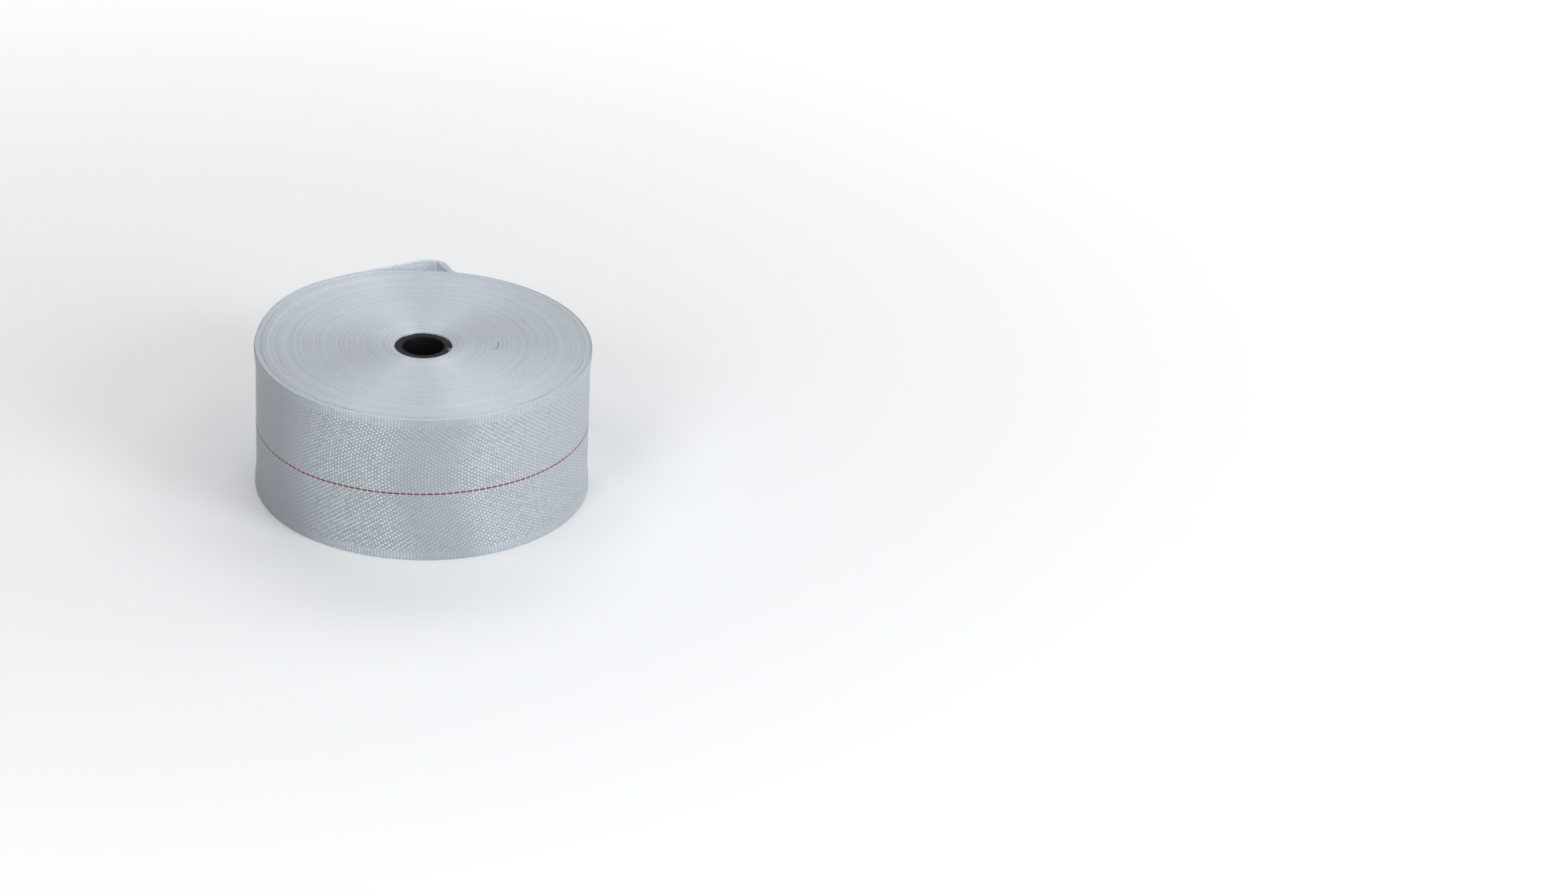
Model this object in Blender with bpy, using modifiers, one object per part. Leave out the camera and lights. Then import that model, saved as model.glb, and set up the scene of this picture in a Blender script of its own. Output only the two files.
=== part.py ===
# A roll of woven fibreglass tape lying on one face, wound on a plastic core, with its
# outer end lifting off at the back. Metres, +Z up, Z = 0 is the surface it rests on.
# The origin is the middle of the footprint, so the core stands a little towards the front.

import math

import bmesh
import bpy
from mathutils import Vector

# Tape and core
TAPE_WIDTH = 0.100
RIM_RADIUS = 0.1096
LAYER = 0.001
CLEARANCE = 0.0003
CORE_RADIUS = 0.0185
CORE_WALL = 0.005
CORE_LENGTH = 0.0982
CORE_CHAMFER = 0.0008

# Wound body: the selvedges build up into rims, so the side is waisted between them
HOLE_RADIUS = CORE_RADIUS + CLEARANCE
WAIST = 0.0012
RIM_BAND = 0.016
RIM_HEIGHTS = (0.0012, 0.004, 0.007, 0.010, 0.013, 0.016)
EDGE_ROUND = 0.0012
SPIRAL_STEP = LAYER + CLEARANCE
STEP_ANGLE = math.radians(0.6)
BODY_SEGMENTS = 72
CORE_SEGMENTS = 48
SHARP_ANGLE = math.radians(35)

# Top face: the last turns lie low, some groups of turns are sunk, and the first turns
# dip to the core
SHOULDER_WIDTH = 0.0045
SHOULDER_DROP = 0.0006
GROOVE_SLOPE = 0.0006
FACE_GROOVES = (
    # middle radius, width, depth
    (0.0982, 0.0040, 0.0005),
    (0.0900, 0.0034, 0.0004),
    (0.0812, 0.0050, 0.0003),
    (0.0722, 0.0036, 0.0004),
    (0.0655, 0.0028, 0.0003),
)
CORE_DIP_RADIUS = 0.028
CORE_DIP = 0.0008

# Loose end: where the sheet's middle runs, seen from above. Degrees are counted from
# the back of the roll, positive to the right
LIFT_DEGREES = -80.0
SHEET_ROUTE = (
    # degrees from the back, stand-off from the rim
    (-79.1, -0.0005),
    (-75.0, -0.0001),
    (-70.0, 0.0006),
    (-64.0, 0.0015),
    (-55.0, 0.0031),
    (-47.0, 0.0043),
    (-39.0, 0.0045),
    (-31.0, 0.0041),
    (-24.0, 0.0044),
    (-15.5, 0.0066),
    (-8.0, 0.0102),
    (-3.0, 0.0146),
    (1.0, 0.0170),
    (4.6, 0.0157),
    (7.2, 0.0112),
    (9.6, 0.0050),
    (11.8, 0.0015),
)
ROUTE_STEPS = 4
WAIST_FADE_DEGREES = 30.0
FOLD_RADIUS = 0.0009
FOLD_STEPS = 6
FLAP_LENGTH = 0.021
SHEET_HEIGHTS = (0.0001, 0.006, 0.016, 0.050, 0.084, 0.094, 0.0999)
FOOT_SPREAD = 0.8

# The last turns are slack under the loose end: they follow its inner face at the left,
# and fall back to the tight ones where it lifts off into its hump
SLACK_ROUTE = (
    # degrees from the back, bulge of the last turn from where it would lie if tight
    (-79.4, 0.0),
    (-70.0, 0.0010),
    (-64.0, 0.0019),
    (-55.0, 0.0035),
    (-47.0, 0.0046),
    (-39.0, 0.0048),
    (-31.0, 0.0044),
    (-24.0, 0.0046),
    (-16.0, 0.0046),
    (-11.0, 0.0040),
    (-8.0, 0.0025),
    (-4.0, 0.0014),
    (0.0, 0.0010),
    (5.0, 0.0008),
    (10.0, 0.0),
)
SLACK_RADIUS = 0.096  # inside this radius every turn is tight

# The back of the loose end and the front of the roll are equally far from the origin
AXIS_Y = -0.0090


def clear_scene():
    for old in list(bpy.data.objects):
        bpy.data.objects.remove(old, do_unlink=True)


def new_collection(name):
    collection = bpy.data.collections.new(name)
    bpy.context.scene.collection.children.link(collection)
    return collection


def new_material(name, colour, roughness):
    material = bpy.data.materials.new(name)
    material.use_nodes = True
    shader = material.node_tree.nodes["Principled BSDF"]
    shader.inputs["Base Color"].default_value = (*colour, 1.0)
    shader.inputs["Roughness"].default_value = roughness
    shader.inputs["Metallic"].default_value = 0.0
    return material


def new_object(name, data, collection, material, parent):
    part = bpy.data.objects.new(name, data)
    collection.objects.link(part)
    part.parent = parent
    part.data.materials.append(material)
    return part


def smoothstep(share):
    share = min(max(share, 0.0), 1.0)
    return share * share * (3.0 - 2.0 * share)


def rim_drop(height):
    """How far the side lies inside the rims at this height up the tape."""
    from_edge = min(height, TAPE_WIDTH - height)
    return WAIST * smoothstep(from_edge / RIM_BAND)


def foot_closing(height):
    """The share by which slack tape lies closer to the roll at this height."""
    return (1.0 - FOOT_SPREAD) * (1.0 - smoothstep(height / TAPE_WIDTH))


def side_profile():
    """The outer side from top to bottom, between its two rounded corners."""
    lower = [*RIM_HEIGHTS, TAPE_WIDTH / 3]
    upper = [TAPE_WIDTH - height for height in lower]
    heights = sorted([*lower, *upper], reverse=True)
    return [(RIM_RADIUS - rim_drop(height), height) for height in heights]


def top_profile():
    """The top face from the hole out to the rim, with its sunk groups of turns."""
    face = TAPE_WIDTH
    points = [
        (HOLE_RADIUS, face - 2 * CORE_DIP),
        (HOLE_RADIUS + CORE_DIP, face - CORE_DIP),
        (CORE_DIP_RADIUS, face),
    ]
    for middle, width, depth in reversed(FACE_GROOVES):
        half = width / 2
        points += [
            (middle - half - GROOVE_SLOPE, face),
            (middle - half, face - depth),
            (middle + half, face - depth),
            (middle + half + GROOVE_SLOPE, face),
        ]
    shoulder = RIM_RADIUS - SHOULDER_WIDTH
    points += [
        (shoulder - GROOVE_SLOPE, face),
        (shoulder, face - SHOULDER_DROP),
        (RIM_RADIUS - EDGE_ROUND, face - SHOULDER_DROP * 0.7),
        (RIM_RADIUS - EDGE_ROUND * 0.3, face - SHOULDER_DROP * 1.2),
    ]
    return points


def body_profile():
    """One closed loop: down the side, in along the flat foot, up the hole, out on top."""
    foot = [
        (RIM_RADIUS - EDGE_ROUND * 0.3, EDGE_ROUND * 0.3),
        (RIM_RADIUS - EDGE_ROUND, 0.0),
        (HOLE_RADIUS + CORE_DIP, 0.0),
        (HOLE_RADIUS, CORE_DIP),
    ]
    return side_profile() + foot + top_profile()


def core_profile():
    inner = CORE_RADIUS - CORE_WALL
    bevel = CORE_CHAMFER
    return [
        (CORE_RADIUS, CORE_LENGTH - bevel),
        (CORE_RADIUS, bevel),
        (CORE_RADIUS - bevel, 0.0),
        (inner + bevel, 0.0),
        (inner, bevel),
        (inner, CORE_LENGTH - bevel),
        (inner + bevel, CORE_LENGTH),
        (CORE_RADIUS - bevel, CORE_LENGTH),
    ]


def turned_mesh(name, profile, segments):
    """A closed outline at +X, turned about Z with a Screw modifier."""
    bm = bmesh.new()
    corners = [bm.verts.new((radius, 0.0, height)) for radius, height in profile]
    for corner, following in zip(corners, corners[1:] + corners[:1]):
        bm.edges.new((corner, following))
    outline = bpy.data.meshes.new(name + "_outline")
    bm.to_mesh(outline)
    bm.free()
    blank = bpy.data.objects.new(name + "_blank", outline)
    bpy.context.scene.collection.objects.link(blank)
    screw = blank.modifiers.new("turned", "SCREW")
    screw.angle = math.tau
    screw.steps = segments
    screw.render_steps = segments
    screw.use_merge_vertices = True
    screw.merge_threshold = 0.00001
    screw.use_normal_calculate = True
    depsgraph = bpy.context.evaluated_depsgraph_get()
    mesh = bpy.data.meshes.new_from_object(blank.evaluated_get(depsgraph))
    mesh.name = name
    bpy.data.objects.remove(blank, do_unlink=True)
    return mesh


def place(turn, radius, height):
    """The point at this angle from the back of the roll, positive to the right."""
    return Vector((radius * math.sin(turn), radius * math.cos(turn), height))


def slack_bulge(turn, radius, height):
    """How far a slack turn stands off from where it would lie if it were tight."""
    degrees = math.degrees(turn)
    share = smoothstep((radius - SLACK_RADIUS) / (RIM_RADIUS - SLACK_RADIUS))
    for (start, bulge), (end, next_bulge) in zip(SLACK_ROUTE, SLACK_ROUTE[1:]):
        if start <= degrees <= end:
            along = (degrees - start) / (end - start)
            bulge += (next_bulge - bulge) * along
            return bulge * share * (1.0 - foot_closing(height))
    return 0.0


def wind_spiral(mesh):
    """Draws a turned body in by one layer over a full turn, ending in a steep step."""
    lift = math.radians(LIFT_DEGREES)
    column = math.tau / BODY_SEGMENTS
    for vertex in mesh.vertices:
        x, y, height = vertex.co
        radius = math.hypot(x, y)
        turn = math.atan2(x, y)
        wound = (lift - turn) % math.tau
        if math.tau - wound < column / 2:
            wound = 0.0
        if wound > math.tau - 1.5 * column:
            turn = lift + STEP_ANGLE
        outward = (radius - HOLE_RADIUS) / (RIM_RADIUS - HOLE_RADIUS)
        drawn_in = SPIRAL_STEP * outward * wound / (math.tau - column)
        bulge = slack_bulge(turn, radius, height)
        vertex.co = place(turn, radius - drawn_in + bulge, height)


def build_body(collection, axis):
    fabric = new_material("wound_tape", (0.62, 0.66, 0.68), 0.55)
    mesh = turned_mesh("tape_roll", body_profile(), BODY_SEGMENTS)
    wind_spiral(mesh)
    mesh.shade_smooth()
    mesh.set_sharp_from_angle(angle=SHARP_ANGLE)
    new_object("tape_roll", mesh, collection, fabric, axis)


def build_core(collection, axis):
    plastic = new_material("core_plastic", (0.02, 0.02, 0.022), 0.45)
    mesh = turned_mesh("core_tube", core_profile(), CORE_SEGMENTS)
    mesh.shade_smooth()
    mesh.set_sharp_from_angle(angle=SHARP_ANGLE)
    new_object("core_tube", mesh, collection, plastic, axis)


def smooth_rows(rows, steps):
    """Rows of numbers read off a smooth curve that passes through every given row."""
    ends = [rows[0], *rows, rows[-1]]
    found = []
    for before, start, end, after in zip(ends, ends[1:], ends[2:], ends[3:]):
        for step in range(steps):
            t = step / steps
            weights = (
                0.5 * (-t + 2 * t**2 - t**3),
                0.5 * (2 - 5 * t**2 + 3 * t**3),
                0.5 * (t + 4 * t**2 - 3 * t**3),
                0.5 * (t**3 - t**2),
            )
            four = (before, start, end, after)
            columns = zip(*four)
            found.append([sum(w * v for w, v in zip(weights, c)) for c in columns])
    return [*found, list(rows[-1])]


def sheet_route(height):
    """Points along the sheet's middle: lift-off, hump, fold and the flap inside it."""
    rest = SHEET_ROUTE[-1][1]
    closing = foot_closing(height)
    run = []
    for degrees, stand_off in smooth_rows(SHEET_ROUTE, ROUTE_STEPS):
        lifted = smoothstep((degrees - LIFT_DEGREES) / WAIST_FADE_DEGREES)
        radius = RIM_RADIUS + stand_off - closing * max(stand_off - rest, 0.0)
        radius -= rim_drop(height) * (1.0 - lifted)
        run.append(place(math.radians(degrees), radius, height))
    heading = (run[-1] - run[-2]).normalized()
    inward = Vector((heading.y, -heading.x, 0.0))
    centre = run[-1] + inward * FOLD_RADIUS
    fold = []
    for step in range(1, FOLD_STEPS):
        bend = math.pi * step / FOLD_STEPS
        offset = heading * math.sin(bend) - inward * math.cos(bend)
        fold.append(centre + offset * FOLD_RADIUS)
    flap = []
    length = 0.0
    for later, here, earlier in zip(run[::-1], run[-2::-1], run[-3::-1]):
        length += (later - here).length
        if length > FLAP_LENGTH:
            break
        along = (later - earlier).normalized()
        side = Vector((along.y, -along.x, 0.0))
        flap.append(here + side * 2 * FOLD_RADIUS)
    return run + fold + flap


def build_loose_end(collection, axis):
    fabric = new_material("loose_tape", (0.64, 0.68, 0.70), 0.5)
    levels = [sheet_route(height) for height in SHEET_HEIGHTS]
    last_column = min(len(route) for route in levels) - 1
    last_level = len(levels) - 1
    bm = bmesh.new()
    bmesh.ops.create_grid(bm, x_segments=last_column, y_segments=last_level, size=0.5)
    for vertex in bm.verts:
        column = round((vertex.co.x + 0.5) * last_column)
        level = round((vertex.co.y + 0.5) * last_level)
        vertex.co = levels[level][column]
    mesh = bpy.data.meshes.new("loose_end")
    bm.to_mesh(mesh)
    bm.free()
    sheet = new_object("loose_end", mesh, collection, fabric, axis)
    wall = sheet.modifiers.new("layer", "SOLIDIFY")
    wall.thickness = LAYER
    wall.offset = 0.0
    wall.use_even_offset = True
    sheet.data.shade_smooth()


def build():
    clear_scene()
    collection = new_collection("fibreglass_tape_roll")
    axis = bpy.data.objects.new("roll_axis", None)
    axis.location = (0.0, AXIS_Y, 0.0)
    collection.objects.link(axis)
    build_body(collection, axis)
    build_core(collection, axis)
    build_loose_end(collection, axis)
    bpy.context.view_layer.update()


build()
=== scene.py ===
import math
import random

import bmesh
import bpy
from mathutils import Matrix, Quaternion, Vector, noise


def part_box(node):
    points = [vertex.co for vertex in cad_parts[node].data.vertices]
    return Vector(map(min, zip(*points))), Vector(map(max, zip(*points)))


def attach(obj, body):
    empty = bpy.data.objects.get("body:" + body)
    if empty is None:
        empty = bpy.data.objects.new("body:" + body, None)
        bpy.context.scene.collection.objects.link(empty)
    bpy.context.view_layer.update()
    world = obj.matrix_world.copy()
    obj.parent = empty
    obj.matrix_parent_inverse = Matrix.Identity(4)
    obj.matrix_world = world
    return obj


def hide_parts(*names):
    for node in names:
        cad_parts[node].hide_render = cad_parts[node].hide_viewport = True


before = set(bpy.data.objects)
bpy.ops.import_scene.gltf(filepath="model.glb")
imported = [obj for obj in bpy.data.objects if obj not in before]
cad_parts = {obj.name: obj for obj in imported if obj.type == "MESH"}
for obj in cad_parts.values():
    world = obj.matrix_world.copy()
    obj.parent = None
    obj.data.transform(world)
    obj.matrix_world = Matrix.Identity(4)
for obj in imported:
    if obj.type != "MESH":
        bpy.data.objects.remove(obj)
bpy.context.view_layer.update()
coreLow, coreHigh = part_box("core_tube")
rollAxis = (coreLow + coreHigh) / 2

# The tape. A place along it is counted in picks, which are the weft yarns: 0 is where the
# outer turn lifts off the roll, the count rises round the roll and falls to the loose end
tape = {
    "width": 0.100,
    "rimRadius": 0.1099,
    "thickness": 0.00037,
    "picksPerTurn": 322,
    "liftDegrees": -80.0,  # from the back of the roll, positive to the right
    "layerStep": 0.0004,  # how much the outer turn winds in over a full turn
    "waist": 0.0012,
    "rimBand": 0.016,
    "warpPitch": 0.0013,
    "warpEnds": 68,
    "lowerSelvedge": 0.00615,
    "bowMiddle": 0.060,
    "bowBelow": 0.034,  # under this height the picks lean no further
    "bowRate": 11.8,  # how much more a pick leans for each metre up
    "bowEnds": (0.004, 0.0935),  # past these heights the weft runs straight across
    "tracerHeight": 0.0471,
    "warpDrift": (
        # pick, how far up the warp has wandered at mid-width
        (-100.0, 0.0),
        (0.0, -0.0022),
        (47.0, -0.0015),
        (70.0, -0.0004),
        (90.0, 0.0003),
        (110.0, 0.0008),
        (132.0, 0.0007),
        (200.0, -0.0003),
        (330.0, 0.0),
    ),
}
pickPitch = math.tau * (tape["rimRadius"] - tape["waist"] / 2) / tape["picksPerTurn"]
upperSelvedge = tape["lowerSelvedge"] + tape["warpPitch"] * tape["warpEnds"]
pickAngle = math.tau / tape["picksPerTurn"]
lift = math.radians(tape["liftDegrees"])
print("tape: picks %.2f mm apart, warp ends %.2f mm apart" % (pickPitch * 1000, tape["warpPitch"] * 1000))


def smoothStep(share):
    share = min(max(share, 0.0), 1.0)
    return share * share * (3.0 - 2.0 * share)


def around(turn, radius, height):
    across = rollAxis.x + radius * math.sin(turn)
    back = rollAxis.y + radius * math.cos(turn)
    return Vector((across, back, height))


def rimDrop(height):  # the thick selvedges stand out as rims, the side is waisted between them
    fromEdge = min(height, tape["width"] - height)
    return tape["waist"] * smoothStep(fromEdge / tape["rimBand"])


# The last turns are slack under the loose end: they follow it at the left, and fall back to
# the tight ones where it lifts off into its hump
slack = {
    "bulge": (
        # degrees from the back, how far the last turn stands off from where it would lie if tight
        (-79.4, 0.0),
        (-70.0, 0.0010),
        (-64.0, 0.0019),
        (-55.0, 0.0035),
        (-47.0, 0.0046),
        (-39.0, 0.0048),
        (-31.0, 0.0044),
        (-24.0, 0.0046),
        (-16.0, 0.0046),
        (-11.0, 0.0040),
        (-8.0, 0.0025),
        (-4.0, 0.0014),
        (0.0, 0.0010),
        (5.0, 0.0008),
        (10.0, 0.0),
    ),
    "fromShare": 0.7,  # of the way round
    "fromRadius": 0.096,
    "footClosing": 0.2,
}


def footClosing(height):  # slack tape lies closer to the roll at its foot
    return slack["footClosing"] * (1.0 - smoothStep(height / tape["width"]))


def slackBulge(turn, radius, height):
    degrees = (math.degrees(turn) + 180.0) % 360.0 - 180.0
    rows = slack["bulge"]
    if not rows[0][0] < degrees < rows[-1][0]:
        return 0.0
    share = smoothStep((radius - slack["fromRadius"]) / (tape["rimRadius"] - slack["fromRadius"]))
    for (start, low), (end, high) in zip(rows, rows[1:]):
        if start <= degrees <= end:
            along = smoothStep((degrees - start) / (end - start))
            return (low + (high - low) * along) * share * (1.0 - footClosing(height))


def sideRadius(pick, height):
    tight = tape["rimRadius"] - tape["layerStep"] * pick / tape["picksPerTurn"] - rimDrop(height)
    if pick < slack["fromShare"] * tape["picksPerTurn"]:
        return tight
    return tight + slackBulge(lift - pick * pickAngle, tape["rimRadius"], height)


def weftLean(height):  # how many picks a weft yarn has bowed along the tape at this height
    lowest, highest = tape["bowEnds"]
    height = min(max(height, lowest), highest)
    belowStart = max(tape["bowBelow"] - height, 0.0)
    fromMiddle = max(height, tape["bowBelow"]) - tape["bowMiddle"]
    bowed = 0.5 * tape["bowRate"] * fromMiddle**2
    straight = tape["bowRate"] * (tape["bowMiddle"] - tape["bowBelow"]) * belowStart
    return (bowed + straight) / pickPitch


def warpDrift(pick):
    rows = tape["warpDrift"]
    for (start, low), (end, high) in zip(rows, rows[1:]):
        if pick <= end:
            return low + (high - low) * smoothStep((pick - start) / (end - start))
    return 0.0


def warpCount(pick, height):  # how many warp ends lie between the lower selvedge and this height
    wandered = warpDrift(pick) * math.sin(math.pi * height / tape["width"])
    return (height - wandered - tape["lowerSelvedge"]) / tape["warpPitch"]


# The woven face, as heights over the cloth's middle
weave = {
    "warpCrimp": 0.00010,
    "warpBulge": 0.00017,
    "weftCrimp": 0.00007,
    "weftBulge": 0.00010,
    "ribDepth": 0.00013,
    "sunk": 0.00011,
    "uneven": 0.35,
    "ripple": 0.00005,
    "calmEdge": 0.0010,  # the ribs flatten out towards the tape's edge
    "yarnSides": 1.92,  # yarns as wide as their pitch would have 2
}


def yarnTop(across):  # a flat yarn's rounded section, 0.5 is where its side is
    side = min(abs(across) * weave["yarnSides"], 1.0)
    return math.sqrt(1.0 - side * side)


def clothRelief(pick, height):
    along = pick - weftLean(height)
    end = warpCount(pick, height)
    pickNumber = math.floor(along)
    endNumber = math.floor(end)
    luck = 1.0 + weave["uneven"] * (noise.cell(Vector((pickNumber, endNumber, 0.5))) - 0.5)
    warp = weave["warpCrimp"] * luck * math.sin(math.pi * (along + endNumber))
    warp += weave["warpBulge"] * yarnTop(end - endNumber - 0.5)
    weft = -weave["weftCrimp"] * math.sin(math.pi * (end + pickNumber))
    weft += weave["weftBulge"] * yarnTop(along - pickNumber - 0.5)
    woven = max(warp, weft)
    rib = weave["ribDepth"] * luck * yarnTop(along - pickNumber - 0.5)
    intoField = min(height - tape["lowerSelvedge"], upperSelvedge - height) / tape["warpPitch"]
    share = smoothStep(intoField + 0.5)
    ripple = weave["ripple"] * noise.noise(Vector((pick * 0.11, height * 90.0, 3.0)))
    calm = smoothStep(min(height, tape["width"] - height) / weave["calmEdge"])
    rib = weave["ribDepth"] / 2 + (rib - weave["ribDepth"] / 2) * calm
    return woven * share + rib * (1.0 - share) - weave["sunk"] + ripple


# Shaders. A Wire is one socket, and sums written with it become Math nodes
class Wire:
    def __init__(self, paint, source, socket):
        self.paint = paint
        self.source = source
        self.socket = socket

    def also(self, output):
        return Wire(self.paint, self.source, self.source.outputs[output])

    def maths(self, operation, *others):
        values = dict(enumerate((self, *others)))
        return self.paint.node("ShaderNodeMath", {"operation": operation}, values)

    def mathsAfter(self, operation, first):
        return self.paint.node("ShaderNodeMath", {"operation": operation}, {0: first, 1: self})

    def __add__(self, other):
        return self.maths("ADD", other)

    def __radd__(self, other):
        return self.maths("ADD", other)

    def __sub__(self, other):
        return self.maths("SUBTRACT", other)

    def __rsub__(self, other):
        return self.mathsAfter("SUBTRACT", other)

    def __mul__(self, other):
        return self.maths("MULTIPLY", other)

    def __rmul__(self, other):
        return self.maths("MULTIPLY", other)

    def __truediv__(self, other):
        return self.maths("DIVIDE", other)

    def __mod__(self, other):
        return self.maths("FLOORED_MODULO", other)

    def __abs__(self):
        return self.maths("ABSOLUTE")

    def limited(self):
        settings = {"operation": "ADD", "use_clamp": True}
        return self.paint.node("ShaderNodeMath", settings, {0: self, 1: 0.0})

    def rise(self, low, high):  # 0 below low, 1 above high, smooth between
        settings = {"interpolation_type": "SMOOTHSTEP"}
        return self.paint.node("ShaderNodeMapRange", settings, {0: self, 1: low, 2: high, 3: 0.0, 4: 1.0})


class Paint:
    def __init__(self, name, settings):
        self.material = bpy.data.materials.new(name)
        self.material.use_nodes = True
        self.tree = self.material.node_tree
        self.shader = self.tree.nodes["Principled BSDF"]
        for socket, value in settings.items():
            self.shader.inputs[socket].default_value = value

    def node(self, kind, settings, inputs, output=0):
        made = self.tree.nodes.new(kind)
        for name, value in settings.items():
            setattr(made, name, value)
        for socket, value in inputs.items():
            self.fill(made.inputs[socket], value)
        return Wire(self, made, made.outputs[output])

    def fill(self, socket, value):
        if isinstance(value, Wire):
            self.tree.links.new(value.socket, socket)
        else:
            socket.default_value = value

    def feed(self, socket, value):
        self.fill(self.shader.inputs[socket], value)

    def mix(self, share, first, second):
        settings = {"data_type": "RGBA"}
        return self.node("ShaderNodeMix", settings, {0: share, 6: first, 7: second}, 2)

    def place(self, output):
        return self.node("ShaderNodeTexCoord", {}, {}, output)

    def noise(self, where, scale, detail=2.0, roughness=0.5, size="3D"):
        inputs = {"Scale": scale, "Detail": detail, "Roughness": roughness}
        inputs["W" if size == "1D" else "Vector"] = where
        return self.node("ShaderNodeTexNoise", {"noise_dimensions": size}, inputs)

    def bump(self, height, distance):
        inputs = {"Strength": 1.0, "Distance": distance, "Height": height}
        self.feed("Normal", self.node("ShaderNodeBump", {}, inputs))


unlit = (0.0, 0.0, 0.0, 1.0)

clothFinish = {
    "shadedGap": (0.255, 0.275, 0.30, 1.0),
    "yarn": (0.78, 0.84, 0.90, 1.0),
    "tracerTint": (0.66, 0.40, 0.46, 1.0),
    "roughness": 0.30,
    "silk": (0.0, 0.15),  # how metallic the gaps and the crowns are, for the sheen of glass silk
    "filaments": 9.0,
    "bumpDepth": 0.00008,
    # where a yarn lies on top: how far its pale crown, a painted highlight, reaches, its size along and
    # across
    "warpCrown": (1.3, 0.22, 0.19),
    "weftCrown": (1.0, 0.24, 0.34),
    "ribSize": 0.19,
    # how pale: the ground, a warp crown, a weft crown, the difference from yarn to yarn. The dark ground
    # is painted shade between the yarns and the pale crowns are painted highlights; the difference from
    # yarn to yarn is the yarns' own
    "fieldShades": (0.09, 0.80, 0.26, 0.22),
    # the selvedge: the ground, a rib, the difference from yarn to yarn; the ribs are painted pale over
    # painted shade between them
    "selvedgeShades": (0.24, 0.30, 0.16),
    "cloudScale": 25.0,
    "cloudShare": 0.16,
    # painted light: the cloth is painted paler from these warp ends down to its foot, for light thrown up
    # from below
    "footEnds": (6.0, 34.0),
    "footPaintedLight": 0.16,
    # painted shade: the level that the crown contrast is flattened towards in the bands below
    "paintedShadeLevel": 0.38,
    "paintedShadeBands": (
        # painted shade: middle pick, half its width, how much darker the colour is painted there and how
        # much of the painted crown contrast is taken away
        (91.0, 16.0, 0.34, 0.45),
        (24.0, 38.0, 0.66, 0.62),
        (165.0, 75.0, 0.02, 0.50),
        (172.0, 24.0, 0.12, 0.20),
    ),
    "tracerReach": (0.35, 1.05),
    "tracerShare": 0.5,
    # painted light: the inside of the loose end and its flap are painted paler and given a glow, for light
    # that passes the thin cloth from behind
    "flapPicks": (-93.0, -89.0),
    "flapLight": 0.55,
    "paintedLitShade": 0.52,
    "glow": (0.11, 0.117, 0.124, 1.0),
}


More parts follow.
